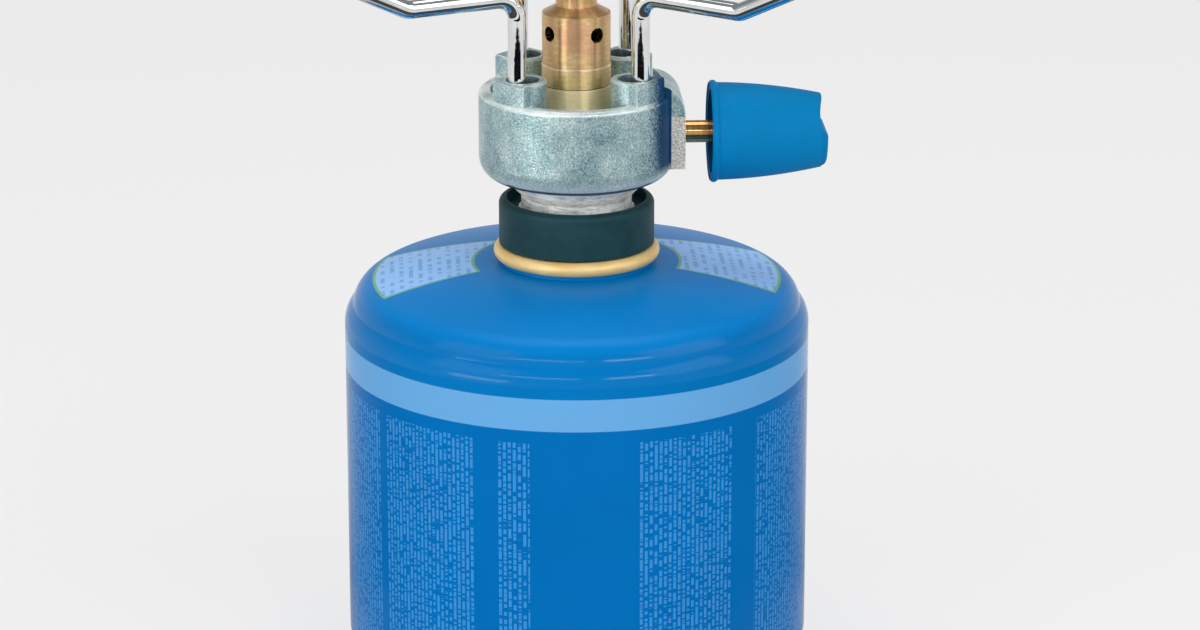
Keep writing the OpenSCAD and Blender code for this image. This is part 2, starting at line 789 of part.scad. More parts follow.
module control_knob() {
    color("#0077B3") along_spindle(knob_x) difference() {
        union() {
            difference() {
                rotate_extrude() {
                    intersection() {
                        knob_side(0);
                        union() {
                            box_2d(0, 0, knob_inner_d, knob_l - knob_edge_r);
                            box_2d(0, 0, knob_outer_d / 2 - knob_edge_r, knob_l);
                            translate([knob_outer_d / 2 - knob_edge_r, knob_l - knob_edge_r]) {
                                circle(r = knob_edge_r, $fn = 48);
                            }
                        }
                    }
                    translate([knob_inner_d / 2 - lip_reach, lip_reach]) circle(r = 2 * lip_reach, $fn = 32);
                }
                rotate_extrude() intersection() {
                    knob_side(knob_wall);
                    box_2d(0, 0, knob_inner_d, knob_l - knob_end_t);
                }
                translate([0, 0, -2 * lip_reach]) cylinder(d = knob_inner_d, h = 2 * lip_reach);
            }
            translate([0, 0, hub_x - knob_x]) cylinder(d = hub_d, h = hub_l + lap);
        }
        translate([0, 0, hub_x - knob_x - lap]) cylinder(r = spindle_r + fit, h = hub_l + lap);
        translate([-scoop_offset, 0, knob_l + scoop_r - scoop_depth]) rotate([90, 0, 0]) {
            cylinder(r = scoop_r, h = knob_inner_d, center = true);
        }
    }
}

module knob_clip() {
    color("#B4B8BA") along_spindle(knob_clip_x) rotate_extrude() {
        translate([(hub_d + knob_clip_d) / 2 + fit, 0]) circle(d = knob_clip_d, $fn = 32);
    }
}

module gas_jet() {
    jet_z = axis_z + chamber_r;
    hex_z = floor_z - base_spigot_l;
    hex_h = 3.6;
    tip_h = 2.4;
    orifice_r = 0.2;
    color("#C8A860") difference() {
        union() {
            translate([0, 0, jet_z]) cylinder(r = jet_r, h = hex_z - jet_z + lap);
            translate([0, 0, hex_z]) cylinder(d = jet_hex_d, h = hex_h, $fn = 6);
            translate([0, 0, hex_z + hex_h]) cylinder(r1 = jet_hex_d / 3, r2 = jet_hex_d / 5, h = tip_h);
        }
        translate([0, 0, jet_z - lap]) cylinder(r = jet_r / 2, h = hex_z + hex_h - jet_z);
        translate([0, 0, hex_z]) cylinder(r = orifice_r, h = hex_h + tip_h + lap);
    }
}

module burner_base() {
    ring_r = tube_in_r - fit;
    color("#C0A060") rotate_extrude() {
        box_2d(base_bore_r, floor_z - base_spigot_l, base_spigot_r, joint_z);
        polygon([
            [base_bore_r, floor_z + fit], [burner_r, floor_z + fit], [burner_r, joint_z - joint_chamfer],
            [burner_r - joint_chamfer, joint_z], [base_bore_r, joint_z]
        ]);
        box_2d(base_bore_r, joint_z - lap, ring_r, joint_z + base_ring_h);
    }
}

module burner_tube() {
    slope_in = shoulder_z - tube_wall;
    color("#C0A060") difference() {
        rotate_extrude() difference() {
            polygon([
                [0, joint_z + fit], [burner_r - joint_chamfer, joint_z + fit],
                [burner_r, joint_z + fit + joint_chamfer], [burner_r, joint_z + band_h],
                [burner_r - band_step, joint_z + band_h + band_step], [burner_r - band_step, shoulder_z],
                [throat_r, throat_z], [throat_r, throat_top], [0, throat_top]
            ]);
            polygon([
                [0, joint_z - lap], [tube_in_r, joint_z - lap], [tube_in_r, slope_in],
                [throat_in_r, slope_in + tube_slope_h], [throat_in_r, throat_top + lap], [0, throat_top + lap]
            ]);
        }
        for (hole = [0:air_holes - 1]) {
            rotate([0, 0, 270 + air_hole_turn + hole * 360 / air_holes]) {
                translate([0, 0, joint_z + air_hole_rise]) rotate([0, 90, 0]) cylinder(d = air_hole_d, h = burner_d);
            }
        }
    }
}

module burner_head() {
    socket_r = throat_r + fit;
    port_z = (head_z + head_floor_t + head_top) / 2;
    color("#C0A060") difference() {
        rotate_extrude() {
            box_2d(socket_r, throat_top - head_socket_l, socket_r + head_wall, head_z + lap);
            box_2d(socket_r, head_z, head_r, head_z + head_floor_t);
            box_2d(head_r - head_wall, head_z, head_r, head_top);
        }
        for (port = [0:ports - 1]) {
            rotate([0, 0, port * 360 / ports]) translate([head_r - head_wall - lap, 0, port_z]) {
                rotate([0, 90, 0]) cylinder(d = port_d, h = head_wall + 2 * lap);
            }
        }
    }
}

module burner_gauze() {
    gauze_t = 0.6;
    gauze_holes = 8;
    gauze_r = head_r - head_wall - fit;
    color("#8E9294") translate([0, 0, head_z + head_floor_t]) difference() {
        cylinder(r = gauze_r, h = gauze_t);
        for (hole = [0:gauze_holes - 1]) {
            rotate([0, 0, hole * 360 / gauze_holes]) translate([throat_in_r / 2, 0, -lap]) {
                cylinder(r = throat_in_r / 6, h = gauze_t + 2 * lap);
            }
        }
    }
}

module burner_cap() {
    cap_lip = 0.5;
    spigot_r = head_r - head_wall - fit;
    color("#A8ACAE") rotate_extrude() {
        box_2d(0, head_top + fit, head_r - cap_lip, head_top + fit + cap_t);
        translate([head_r - cap_lip, head_top + fit + cap_lip]) circle(r = cap_lip, $fn = 32);
        box_2d(0, head_top - cap_t / 2, spigot_r, head_top + fit + lap);
    }
}

module leg_washers() {
    washer_t = 0.7;
    washer_w = 1.2;
    washer_r = wire_r + washer_w;
    color("#8A9094") difference() {
        intersection() {
            at_legs(leg_ring_r) translate([0, 0, pocket_z]) cylinder(r = washer_r, h = washer_t);
            at_legs(boss_ring_r) translate([0, 0, pocket_z]) cylinder(d = pocket_d - 2 * fit, h = pocket_depth);
        }
        at_legs(leg_ring_r) translate([0, 0, pocket_z - lap]) cylinder(r = wire_r + running_fit, h = pocket_depth);
    }
}

module leg_clips() {
    color("#6E7478") at_legs(leg_ring_r) translate([0, 0, clip_z]) difference() {
        cylinder(r = wire_r + clip_groove - fit, h = clip_t);
        translate([0, 0, -lap]) cylinder(r = wire_r - clip_groove + running_fit, h = clip_t + 2 * lap);
    }
}

// Straight wire along the local Z axis, let into the bends at its ends, then whatever follows it
module wire_run(length) {
    translate([0, 0, -lap]) cylinder(d = wire_d, h = length + 2 * lap);
    translate([0, 0, length]) children();
}

// Wire bent from the local Z axis towards the local X axis, a trace fuller than the straight wire
module wire_bend(angle) {
    translate([bend_r, 0, 0]) mirror([1, 0, 0]) rotate([90, 0, 0]) rotate_extrude(angle = angle) {
        translate([bend_r, 0]) circle(d = wire_d + 2 * bend_swell);
    }
    translate([bend_r * (1 - cos(angle)), 0, bend_r * sin(angle)]) rotate([0, angle, 0]) children();
}

module wire_bend_back(angle) {
    rotate([0, 0, 180]) wire_bend(angle) rotate([0, 0, 180]) children();
}

// Leg, level run, rising run and level tip of one pan support, at its leg and turned to its direction
module pan_support(leg_turn, arm_turn) {
    bend_l = bend_r * tan(arm_slope / 2);
    slope_l = slope_run / cos(arm_slope) - 2 * bend_l;
    color("#C6C9CC") rotate([0, 0, leg_turn]) translate([leg_ring_r, 0, leg_z + lap]) {
        rotate([0, 0, arm_turn - leg_turn]) difference() {
            wire_run(arm_z - leg_z - lap - bend_r) wire_bend(90)
                wire_run(arm_run - bend_r - bend_l) wire_bend_back(arm_slope)
                wire_run(slope_l) wire_bend(arm_slope)
                wire_run(tip_run) sphere(d = wire_d + 2 * bend_swell);
            translate([0, 0, clip_z - leg_z - lap - fit]) difference() {
                cylinder(r = wire_d, h = clip_t + 2 * fit);
                cylinder(r = wire_r - clip_groove, h = clip_t + 2 * fit);
            }
        }
    }
}

module pan_support_front_left() {
    pan_support(180 + front_leg_angle, 180 + front_left_turn);
}

module pan_support_front_right() {
    pan_support(-front_leg_angle, -front_right_turn);
}

module pan_support_rear_left() {
    pan_support(180 - rear_leg_angle, 180 - rear_turn);
}

module pan_support_rear_right() {
    pan_support(rear_leg_angle, rear_turn);
}

can_shell();
can_base();
valve_cup();
cup_gasket();
valve_housing();
stem_gasket();
valve_spring();
valve_stem();
connector_collar();
connector_neck();
connector_o_ring();
inlet_probe();
inlet_filter();
drum_body();
valve_seat();
spindle_packing();
gland_nut();
spindle_o_ring();
valve_needle();
valve_spindle();
control_knob();
knob_clip();
gas_jet();
burner_base();
burner_tube();
burner_head();
burner_gauze();
burner_cap();
leg_washers();
leg_clips();
pan_support_front_left();
pan_support_front_right();
pan_support_rear_left();
pan_support_rear_right();
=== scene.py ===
import math

import bpy
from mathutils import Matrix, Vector


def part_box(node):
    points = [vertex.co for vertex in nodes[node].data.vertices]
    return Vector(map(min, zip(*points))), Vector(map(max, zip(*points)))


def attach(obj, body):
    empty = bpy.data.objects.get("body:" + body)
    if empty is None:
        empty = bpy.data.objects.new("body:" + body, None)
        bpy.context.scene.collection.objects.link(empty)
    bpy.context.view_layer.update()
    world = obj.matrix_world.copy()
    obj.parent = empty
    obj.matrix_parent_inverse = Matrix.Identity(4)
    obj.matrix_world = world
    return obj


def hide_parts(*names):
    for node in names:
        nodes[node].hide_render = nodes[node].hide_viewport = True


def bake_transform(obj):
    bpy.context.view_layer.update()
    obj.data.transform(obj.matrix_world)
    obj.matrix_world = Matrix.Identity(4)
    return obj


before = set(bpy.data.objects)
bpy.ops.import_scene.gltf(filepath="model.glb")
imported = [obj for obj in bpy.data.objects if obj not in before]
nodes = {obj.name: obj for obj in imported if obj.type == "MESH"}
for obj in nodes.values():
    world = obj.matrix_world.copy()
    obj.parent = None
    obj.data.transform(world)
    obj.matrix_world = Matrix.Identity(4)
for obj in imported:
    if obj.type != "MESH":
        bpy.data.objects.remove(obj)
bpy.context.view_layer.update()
mm = 0.001
noiseLow, noiseHigh = 0.3, 0.7  # most of a noise texture lies between these
print("frame:", len(nodes), "nodes")


def linear(hexColour):  # sRGB hex to the linear colour that sockets take
    parts = [int(hexColour[i:i + 2], 16) / 255 for i in (1, 3, 5)]
    return [p / 12.92 if p <= 0.04045 else ((p + 0.055) / 1.055) ** 2.4 for p in parts] + [1.0]


# one node with its settings, ramp stops and links; sockets go by name, or by number where names repeat
def addNode(tree, kind, links=None, out=0, stops=(), **settings):
    node = tree.nodes.new("ShaderNode" + kind)
    for name, value in settings.items():
        setattr(node, name, value)
    for i, (place, colour) in enumerate(stops):
        ramp = node.color_ramp.elements
        stop = ramp[i] if i < len(ramp) else ramp.new(place)
        stop.position = place
        stop.color = linear(colour)
    for socket, source in (links or {}).items():
        if isinstance(source, bpy.types.NodeSocket):
            tree.links.new(source, node.inputs[socket])
        else:
            node.inputs[socket].default_value = source
    return node.outputs[out] if len(node.outputs) else None


def newTree(name):  # a material with an empty tree
    material = bpy.data.materials.new(name)
    material.use_nodes = True
    material.node_tree.nodes.clear()
    return material, material.node_tree


def spotInMm(tree):  # place on the piece in millimetres, so each pattern's scale is 1 over its real size
    place = addNode(tree, "TexCoord", out="Object")
    return addNode(tree, "VectorMath", {0: place, "Scale": 1 / mm}, operation="SCALE")


def awayFromAxis(tree, spot, middle=(0, 0, 0)):  # level distance from an upright axis, in mm
    level = addNode(tree, "VectorMath", {0: spot, 1: (1, 1, 0)}, operation="MULTIPLY")
    return addNode(tree, "VectorMath", {0: level, 1: middle}, out="Value", operation="DISTANCE")


def allOf(tree, *masks):  # product of masks and amounts: each of them has to hold
    product = masks[0]
    for mask in masks[1:]:
        product = addNode(tree, "Math", {0: product, 1: mask}, operation="MULTIPLY")
    return product


def closeTree(tree, sockets):  # last two nodes of every finish
    shader = addNode(tree, "BsdfPrincipled", sockets)
    addNode(tree, "OutputMaterial", {"Surface": shader})


# cartridge: lacquered and printed tinplate, roller coated, which gives a smooth soft gloss; mm and degrees
canPrint = {
    # the crown's blue is lighter than the shoulder's as painted light
    "crown": "#0080CC", "top": "#0071B6", "label": "#006AB2", "gloss": (0.11, 0.15),
    "mattFrom": 88.0, "mattTo": 91.0, "mattGloss": 0.36,
    "cloudMm": 22.0, "cloudTones": [(0.3, "#F4F6F8"), (0.7, "#FFFFFF")],
    "peelMm": 1.8, "peelDepth": 0.02, "peelStrength": 0.12,
    "band": "#64A3D8", "bandFrom": 71.5, "bandTo": 79.0,
    "patch": "#98C8FF", "patchFrom": 24.5, "patchTo": 46.8, "patchTurn": 72.0, "patchBack": 17.0,
    "line": "#78B28A", "lineW": 0.7,
    # half is half a stroke's width as a share of the pitch, mm a dash's length, shift keeps rows unlike
    "mark": "#4890D0", "markPitch": 2.2, "markAmount": 0.55,
    "markDash": {"half": 0.22, "mm": 2.4, "from": 0.5, "shift": 5.7, "detail": 2.0},
    "fine": "#58A6E4", "finePitch": 1.15, "fineAmount": 0.45, "fineTop": 68.5, "fineFoot": 9.0, "wallR": 54.0,
    "fineDash": {"half": 0.3, "mm": 0.9, "from": 0.47, "shift": 7.3, "detail": 3.0},
    "columns": [(-79, -59), (-56, -28), (-22, -14), (12, 38), (46, 79), (86, 112), (121, 150), (160, 200),
                (210, 238), (247, 272)],
}


def dashedRows(tree, rows, along, dash):  # mask of dashes: rows counts them across, along is in mm
    row = addNode(tree, "Math", {0: rows}, operation="FLOOR")
    within = addNode(tree, "Math", {0: rows}, operation="FRACT")
    inRow = addNode(tree, "Math", {0: within, 1: 0.5, 2: dash["half"]}, operation="COMPARE")
    shift = addNode(tree, "Math", {0: row, 1: dash["shift"]}, operation="MULTIPLY")
    run = addNode(tree, "CombineXYZ", {0: shift, 1: along})
    broken = addNode(tree, "TexNoise", {"Vector": run, "Scale": 1 / dash["mm"], "Detail": dash["detail"]})
    return allOf(tree, addNode(tree, "Math", {0: broken, 1: dash["from"]}, operation="GREATER_THAN"), inRow)


def printedLacquer(p):
    material, tree = newTree("printedLacquer")
    spot = spotInMm(tree)
    xyz = addNode(tree, "SeparateXYZ", {0: spot}).node.outputs
    toFront = addNode(tree, "Math", {0: xyz["Y"], 1: -1.0}, operation="MULTIPLY")
    turn = addNode(tree, "Math", {0: xyz["X"], 1: toFront}, operation="ARCTAN2")
    degrees = addNode(tree, "Math", {0: turn}, operation="DEGREES")
    radius = awayFromAxis(tree, spot)
    # blue of the shoulder; the crown painted a lighter blue, painted light that evens it with the shoulder;
    # the deeper blue under the band
    onTop = addNode(tree, "MapRange", {0: xyz["Z"], 1: p["mattFrom"], 2: p["mattTo"]})
    blue = addNode(tree, "Mix", {0: onTop, 6: linear(p["top"]), 7: linear(p["crown"])}, 2, data_type="RGBA")
    below = addNode(tree, "Math", {0: xyz["Z"], 1: p["bandFrom"]}, operation="LESS_THAN")
    colour = addNode(tree, "Mix", {0: below, 6: blue, 7: linear(p["label"])}, 2, data_type="RGBA")
    cloud = addNode(tree, "TexNoise", {"Vector": spot, "Scale": 1 / p["cloudMm"], "Detail": 2.0})
    shade = addNode(tree, "ValToRGB", {0: cloud}, stops=p["cloudTones"])
    colour = addNode(tree, "Mix", {0: 1.0, 6: colour, 7: shade}, 2, data_type="RGBA", blend_type="MULTIPLY")
    # pale band round the wall
    half = (p["bandTo"] - p["bandFrom"]) / 2
    band = addNode(tree, "Math", {0: xyz["Z"], 1: p["bandFrom"] + half, 2: half}, operation="COMPARE")
    colour = addNode(tree, "Mix", {0: band, 6: colour, 7: linear(p["band"])}, 2, data_type="RGBA")
    # two plain pale patches on the crown, each in a thin green line
    side = addNode(tree, "Math", {0: degrees}, operation="ABSOLUTE")
    midR, halfR = (p["patchTo"] + p["patchFrom"]) / 2, (p["patchTo"] - p["patchFrom"]) / 2
    for grow, tint in ((p["lineW"], p["line"]), (0.0, p["patch"])):
        across = addNode(tree, "Math", {0: radius, 1: midR, 2: halfR + grow}, operation="COMPARE")
        start = p["patchTurn"] - math.degrees(grow / midR)
        ahead = addNode(tree, "Math", {0: side, 1: start}, operation="GREATER_THAN")
        behind = addNode(tree, "Math", {0: xyz["Y"], 1: p["patchBack"] + grow}, operation="LESS_THAN")
        inside = allOf(tree, across, ahead, behind)
        colour = addNode(tree, "Mix", {0: inside, 6: colour, 7: linear(tint)}, 2, data_type="RGBA")
    # rows of small plain dashes on the patches
    rows = addNode(tree, "Math", {0: xyz["X"], 1: 1 / p["markPitch"]}, operation="MULTIPLY")
    mark = allOf(tree, dashedRows(tree, rows, xyz["Y"], p["markDash"]), inside, p["markAmount"])
    colour = addNode(tree, "Mix", {0: mark, 6: colour, 7: linear(p["mark"])}, 2, data_type="RGBA")
    # columns of fine upright dashes below the band
    lines = addNode(tree, "Math", {0: turn, 1: p["wallR"] / p["finePitch"]}, operation="MULTIPLY")
    dashes = dashedRows(tree, lines, xyz["Z"], p["fineDash"])
    onward = addNode(tree, "Math", {0: degrees, 1: 360.0}, operation="ADD")
    fullTurn = addNode(tree, "Math", {0: onward, 1: 360.0}, operation="MODULO")
    columns = 0.0
    for first, last in p["columns"]:
        around = degrees if last <= 180 else fullTurn
        inColumn = addNode(tree, "Math", {0: around, 1: (first + last) / 2, 2: (last - first) / 2},
                           operation="COMPARE")
        columns = addNode(tree, "Math", {0: inColumn, 1: columns}, operation="MAXIMUM")
    midZ, halfZ = (p["fineTop"] + p["fineFoot"]) / 2, (p["fineTop"] - p["fineFoot"]) / 2
    tall = addNode(tree, "Math", {0: xyz["Z"], 1: midZ, 2: halfZ}, operation="COMPARE")
    fine = allOf(tree, dashes, columns, tall, p["fineAmount"])
    colour = addNode(tree, "Mix", {0: fine, 6: colour, 7: linear(p["fine"])}, 2, data_type="RGBA")
    # roller marks: slow changes of gloss and a trace of orange peel, more matt on the crown
    rolled = addNode(tree, "MapRange", {0: cloud, 3: p["gloss"][0], 4: p["gloss"][1]})
    gloss = addNode(tree, "Mix", {0: onTop, 2: rolled, 3: p["mattGloss"]})
    peel = addNode(tree, "TexNoise", {"Vector": spot, "Scale": 1 / p["peelMm"], "Detail": 1.0})
    bump = addNode(tree, "Bump", {"Height": peel, "Strength": p["peelStrength"],
                                  "Distance": p["peelDepth"] * mm})
    closeTree(tree, {"Base Color": colour, "Roughness": gloss, "Normal": bump, "IOR": 1.45,
                     "Specular IOR Level": 0.12})
    return material


# thin pressed and drawn metals: soft stretch marks and slow changes of tone; stretch is a mark's size in mm
pressedMetals = {
    # rolled and tinned sheet: a soft grey mirror
    "tinplate": {"tones": ("#AEB2B4", "#C8CBCC"), "roughness": 0.3, "stretch": (20.0, 20.0, 2.5)},
    # gold lacquer baked on tinplate: the coat hides most of the metal's shine
    "goldLacquer": {"tones": ("#E8BE74", "#F6D898"), "roughness": 0.42, "stretch": (20 / 3, 20 / 3, 1.25),
                    "metallic": 0.2},
    # cold drawn wire: darker, with an even satin
    "drawnSpringSteel": {"tones": ("#8C9295", "#B4B9BB"), "roughness": 0.3, "stretch": (2.5, 2.5, 2.5)},
    # brushed sheet, warmed by the flame: fine lines along X
    "pressedStainless": {"tones": ("#9A9C9C", "#BDB9B2"), "roughness": 0.34,
                         "stretch": (10.0, 2 / 3, 10 / 3)},
}


def pressedMetal(name, tones, roughness, stretch, metallic=1.0):
    smoother, rougher = roughness * 0.85, roughness * 1.2
    material, tree = newTree(name)
    drawn = addNode(tree, "Mapping", {0: spotInMm(tree), "Scale": [1 / size for size in stretch]})
    cloud = addNode(tree, "TexNoise", {"Vector": drawn, "Scale": 1.0, "Detail": 4.0, "Roughness": 0.6})
    colour = addNode(tree, "ValToRGB", {0: cloud}, stops=zip((noiseLow, noiseHigh), tones))
    gloss = addNode(tree, "MapRange", {0: cloud, 1: noiseLow, 2: noiseHigh, 3: smoother, 4: rougher})
    bump = addNode(tree, "Bump", {"Height": cloud, "Strength": 0.15, "Distance": 0.02 * mm})
    closeTree(tree, {"Base Color": colour, "Metallic": metallic, "Roughness": gloss, "Normal": bump})
    return material


# knob: where its open end towards the drum is hollow and gets painted shade, in mm
knobHollowShade = {"axisZ": 125.815, "fromX": 31.0, "toX": 45.0, "fromR": 10.5, "toR": 9.2, "tone": "#004C78"}
# moulded plastics and rubber: a fine spark-eroded skin, slightly uneven in colour; grain and depth in mm
mouldedSkins = {
    # black nitrile, press moulded: dull and even
    "nitrileRubber": {"tones": ("#222324", "#2E2F30"), "roughness": 0.6, "grain": 0.5, "depth": 0.02},
    # unfilled acetal, injection moulded: milky, with a soft shine
    "naturalAcetal": {"tones": ("#E2DFD4", "#EEECE4"), "roughness": 0.4, "grain": 0.6, "depth": 0.01},
    # pressed fluoropolymer: white and waxy
    "packingPtfe": {"tones": ("#E6E6DF", "#F2F2EC"), "roughness": 0.45, "grain": 0.6, "depth": 0.01},
    # nylon with short glass fibres, injection moulded: dark satin with a slight grain
    "glassFilledNylon": {"tones": ("#113439", "#1A4046"), "roughness": 0.5, "grain": 0.45, "depth": 0.03,
                         "sheen": 0.15},
    # polypropylene, injection moulded: strong matt blue, with painted shade inside the hollow end
    "mouldedPolypropylene": {"tones": ("#0074AC", "#007AB4"), "roughness": 0.55, "grain": 0.5, "depth": 0.015,
                             "sheen": 0.06, "hollow": knobHollowShade},
}


def mouldedSkin(name, tones, roughness, grain, depth, sheen=0.5, hollow=None):
    cloudMm, toneStops = 7.0, (0.32, 0.68)
    smoother, rougher = roughness - 0.05, roughness + 0.07
    material, tree = newTree(name)
    spot = spotInMm(tree)
    cloud = addNode(tree, "TexNoise", {"Vector": spot, "Scale": 1 / cloudMm, "Detail": 3.0})
    colour = addNode(tree, "ValToRGB", {0: cloud}, stops=zip(toneStops, tones))
    if hollow:  # painted shade: the inside of the open end painted dark
        away = addNode(tree, "VectorMath", {0: spot, 1: (0, 0, hollow["axisZ"])}, operation="SUBTRACT")
        across = addNode(tree, "VectorMath", {0: away, 1: (0, 1, 1)}, operation="MULTIPLY")
        reach = addNode(tree, "VectorMath", {0: across}, out="Value", operation="LENGTH")
        along = addNode(tree, "SeparateXYZ", {0: away}, out="X")
        wall = addNode(tree, "MapRange", {0: along, 1: hollow["fromX"], 2: hollow["toX"], 3: hollow["fromR"],
                                          4: hollow["toR"]})
        within = addNode(tree, "Math", {0: reach, 1: wall}, operation="LESS_THAN")
        before = addNode(tree, "Math", {0: along, 1: hollow["toX"]}, operation="LESS_THAN")
        hollowShade = allOf(tree, within, before)
        colour = addNode(tree, "Mix", {0: hollowShade, 6: colour, 7: linear(hollow["tone"])}, 2, data_type="RGBA")
    skin = addNode(tree, "TexNoise", {"Vector": spot, "Scale": 1 / grain, "Detail": 2.0})
    gloss = addNode(tree, "MapRange", {0: skin, 1: noiseLow, 2: noiseHigh, 3: smoother, 4: rougher})
    bump = addNode(tree, "Bump", {"Height": skin, "Strength": 0.35, "Distance": depth * mm})
    closeTree(tree, {"Base Color": colour, "Roughness": gloss, "Normal": bump, "IOR": 1.5,
                     "Specular IOR Level": sheen})
    return material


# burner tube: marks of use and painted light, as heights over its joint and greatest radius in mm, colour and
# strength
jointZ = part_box("burner_tube")[0].z / mm
anyR = 99.0  # wider than the tube
tubeMarks = [
    (-2.0, 15.6, 7.7, "#1C120A", 1.0),  # painted shade in the bore behind the air holes
    (-0.22, 0.2, anyR, "#2C2010", 0.8),  # dirt in the joint
    (0.2, 4.5, anyR, "#E8D292", 0.7),  # cooler foot, less tinted by heat
    (4.45, 4.9, anyR, "#FFF0D6", 0.8),  # painted highlight on the band's top edge
]
# lathe-turned metals: rings left by the tool, finer than the render shows, so drawn 0.5 mm apart
turnedMetals = {
    # aluminium, turned and left bare: pale, with white streaks round it
    "turnedAluminium": {"tones": ("#A0A6A2", "#FCFEFA", "#FFFFFF"), "roughness": 0.45, "axis": "Z",
                        "metallic": 0.3},
    # brass, turned and left bare: straw coloured with soft upright lights
    "turnedBrass": {"tones": ("#F8DAA0", "#FFEDBC", "#FFF8DE"), "roughness": 0.42, "axis": "Z",
                    "metallic": 0.4},
    # the same brass near the flame: browner, with pink and olive heat colours
    "heatTintedBrass": {"tones": ("#C6A268", "#E8C68E", "#FCE8BE"), "roughness": 0.42, "axis": "Z",
                        "metallic": 0.95, "tint": [(0.47, "#E0A08C"), (0.6, "#C4AC68")], "marks": tubeMarks},
    # redder drawn and turned rod: a clear bright line along it
    "spindleBrass": {"tones": ("#C08A50", "#DCAA70", "#F4D4A4"), "roughness": 0.18, "axis": "X",
                     "ringGap": 0.6},
}


def turnedMetal(name, tones, roughness, axis, ringGap=0.5, tint=(), metallic=1.0, marks=()):
    smoother, rougher = roughness - 0.06, roughness + 0.08
    speckMm, drawnOut, speckHeight = 0.7, 0.22, 0.15  # specks are drawn out round the axis by the tool
    contrast, lift, toneStops = 0.7, 0.13, (0.3, 0.52, 0.7)
    patchMm, tintOver, tintAmount = 5.5, 0.14, 0.55
    markFrom, markTo, fainter = 0.38, 0.5, 0.4
    waveTurn = 20.0  # radians that the wave texture turns for each unit
    material, tree = newTree(name)
    spot = spotInMm(tree)
    rings = addNode(tree, "TexWave", {"Vector": spot, "Scale": 2 * math.pi / (waveTurn * ringGap),
                                      "Distortion": 1.2, "Detail": 2.0, "Detail Scale": 3.0},
                    out=1, wave_type="BANDS", bands_direction=axis)
    cut = addNode(tree, "Mapping", {0: spot, "Scale": [1.0 if axis == way else drawnOut for way in "XYZ"]})
    speck = addNode(tree, "TexNoise", {"Vector": cut, "Scale": 1 / speckMm, "Detail": 3.0, "Roughness": 0.7})
    softer = addNode(tree, "Math", {0: speck, 1: contrast, 2: lift}, operation="MULTIPLY_ADD")
    colour = addNode(tree, "ValToRGB", {0: softer}, stops=zip(toneStops, tones))
    if tint:  # heat colours in loose patches
        patch = addNode(tree, "TexNoise", {"Vector": spot, "Scale": 1 / patchMm, "Detail": 3.0,
                                           "Roughness": 0.6})
        for start, hue in tint:
            amount = addNode(tree, "MapRange", {0: patch, 1: start, 2: start + tintOver, 4: tintAmount})
            colour = addNode(tree, "Mix", {0: amount, 6: colour, 7: linear(hue)}, 2, data_type="RGBA")
    if marks:  # painted shade, dirt and a painted highlight
        z = addNode(tree, "SeparateXYZ", {0: spot}, out="Z")
        radius = awayFromAxis(tree, spot)
    for low, high, widest, hue, strength in marks:
        midZ = jointZ + (low + high) / 2
        tall = addNode(tree, "Math", {0: z, 1: midZ, 2: (high - low) / 2}, operation="COMPARE")
        inner = addNode(tree, "Math", {0: radius, 1: widest}, operation="LESS_THAN")
        uneven = addNode(tree, "MapRange", {0: speck, 1: markFrom, 2: markTo, 3: strength * fainter,
                                            4: strength})
        mark = allOf(tree, tall, inner, uneven)
        colour = addNode(tree, "Mix", {0: mark, 6: colour, 7: linear(hue)}, 2, data_type="RGBA")
    gloss = addNode(tree, "MapRange", {0: speck, 1: noiseLow, 2: noiseHigh, 3: smoother, 4: rougher})
    height = addNode(tree, "Math", {0: speck, 1: speckHeight, 2: rings}, operation="MULTIPLY_ADD")
    bump = addNode(tree, "Bump", {"Height": height, "Strength": 0.2, "Distance": 0.02 * mm})
    # the grooves smear each highlight along the axis
    along = addNode(tree, "Tangent", direction_type="RADIAL", axis=axis)
    closeTree(tree, {"Base Color": colour, "Metallic": metallic, "Roughness": gloss, "Normal": bump,
                     "Anisotropic": 0.97, "Anisotropic Rotation": 0.25, "Tangent": along})
    return material


# pan supports: places of the four legs and the bends of their wire, in mm and degrees
wire = {
    "radius": 2.1, "ring": 18.8, "footZ": 119.1, "armZ": 160.915, "bend": 5.0, "run": 27.0, "slope": 26.0,
    "slopeRun": 34.0, "tip": 5.0, "sides": 48, "bendSteps": 24, "endSteps": 12, "endTip": 0.002,
    "lap": 0.2,  # rings this close to each bend keep the straight runs' shading true
    "arms": {"front_left": (222.0, 204.0), "front_right": (318.0, 321.0), "rear_left": (132.0, 137.0),
             "rear_right": (48.0, 43.0)},  # turn of the leg's place, turn of the arm
}


def fromAxis(turn, reach=1.0):  # level step out from the upright axis, turn in degrees from +X
    return Vector((math.cos(math.radians(turn)), math.sin(math.radians(turn)), 0)) * reach


